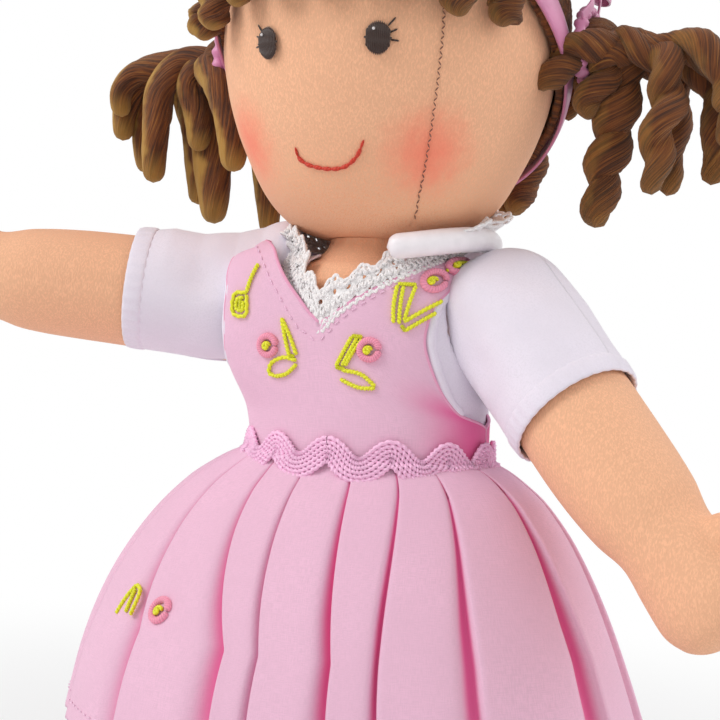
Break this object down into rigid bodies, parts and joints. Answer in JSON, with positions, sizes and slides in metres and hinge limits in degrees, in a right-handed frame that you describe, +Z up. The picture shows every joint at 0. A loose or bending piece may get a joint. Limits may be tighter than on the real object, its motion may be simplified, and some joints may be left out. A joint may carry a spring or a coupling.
{
  "type": "cloth doll",
  "caption": "Stuffed cloth doll in a pleated pinafore dress, with jointed arms, legs and head and hair in swinging side bunches.",
  "frame": {"origin": "on the plane of the shoe soles, under the middle of the doll's box", "axes": "+Z up along the doll, -Y the way that its face looks, +X towards its own left hand"},
  "size_m": [0.2134, 0.126, 0.2707],
  "materials": {
    "skin_knit": "fine peach cotton knit, matt and a little fuzzy",
    "white_jersey": "soft white jersey with a lilac cast",
    "pink_poplin": "pale pink woven cotton with a faint sheen",
    "ricrac_braid": "deeper pink woven ric-rac braid",
    "cotton_lace": "white crocheted cotton lace",
    "satin_roll": "smooth white satin, rolled",
    "white_cotton": "white cotton",
    "satin_ribbon": "mauve pink satin ribbon",
    "hair_yarn": "brown wool yarn in ringlets, golden at the tips",
    "eye_thread": "dark brown embroidery thread",
    "smile_thread": "red embroidery thread",
    "shoe_felt": "pink wool felt",
    "shoe_sole": "tan suede",
    "pearl_button": "pearly white plastic"
  },
  "bodies": {
    "torso": {"torso_body": "skin_knit", "neck": "skin_knit", "jersey_top": "white_jersey", "dress_bodice": "pink_poplin", "dress_skirt": "pink_poplin", "waist_ricrac": "ricrac_braid", "lace_neckline": "cotton_lace", "lace_frill": "cotton_lace", "collar_roll": "satin_roll", "bloomer_seat": "white_cotton", "back_button_1": "pearl_button", "back_button_2": "pearl_button", "back_button_3": "pearl_button"},
    "head": {"head_body": "skin_knit", "hair_cap": "hair_yarn", "fringe_curls": "hair_yarn", "back_curls": "hair_yarn", "hairband": "satin_ribbon", "left_eye": "eye_thread", "right_eye": "eye_thread", "smile_stitch": "smile_thread", "left_hair_tie": "satin_ribbon", "right_hair_tie": "satin_ribbon", "left_bow": "satin_ribbon", "right_bow": "satin_ribbon"},
    "left_bunch": {"left_hair_bunch": "hair_yarn"},
    "left_arm": {"left_arm": "skin_knit", "left_sleeve": "white_jersey", "left_sleeve_hem": "white_jersey"},
    "left_leg": {"left_leg": "skin_knit", "left_bloomer_leg": "white_cotton", "left_sock": "white_cotton", "left_shoe_upper": "shoe_felt", "left_shoe_sole": "shoe_sole", "left_shoe_strap": "shoe_felt", "left_shoe_button": "pearl_button"},
    "right_bunch": {"right_hair_bunch": "hair_yarn"},
    "right_arm": {"right_arm": "skin_knit", "right_sleeve": "white_jersey", "right_sleeve_hem": "white_jersey"},
    "right_leg": {"right_leg": "skin_knit", "right_bloomer_leg": "white_cotton", "right_sock": "white_cotton", "right_shoe_upper": "shoe_felt", "right_shoe_sole": "shoe_sole", "right_shoe_strap": "shoe_felt", "right_shoe_button": "pearl_button"}
  },
  "joints": [
    {"name": "head_turn", "type": "hinge", "parent": "torso", "child": "head", "pos_m": [0.00911, 0, 0.181], "axis": [0, 0, 1], "range_deg": [-35, 35]},
    {"name": "left_shoulder", "type": "hinge", "parent": "torso", "child": "left_arm", "pos_m": [0.04211, 0, 0.165], "axis": [-0.4067, -0.9135, 0], "range_deg": [-8, 52]},
    {"name": "right_shoulder", "type": "hinge", "parent": "torso", "child": "right_arm", "pos_m": [-0.02389, 0, 0.165], "axis": [-0.4067, 0.9135, 0], "range_deg": [-56, 4]},
    {"name": "left_hip", "type": "hinge", "parent": "torso", "child": "left_leg", "pos_m": [0.02361, 0, 0.097], "axis": [-1, 0, 0], "range_deg": [-30, 45]},
    {"name": "right_hip", "type": "hinge", "parent": "torso", "child": "right_leg", "pos_m": [-0.00539, 0, 0.097], "axis": [-1, 0, 0], "range_deg": [-30, 45]},
    {"name": "left_bunch_swing", "type": "hinge", "parent": "head", "child": "left_bunch", "pos_m": [0.05811, 0.006, 0.2286], "axis": [0, -1, 0], "range_deg": [0, 20]},
    {"name": "right_bunch_swing", "type": "hinge", "parent": "head", "child": "right_bunch", "pos_m": [-0.03989, 0.006, 0.2286], "axis": [0, 1, 0], "range_deg": [0, 20]}
  ]
}
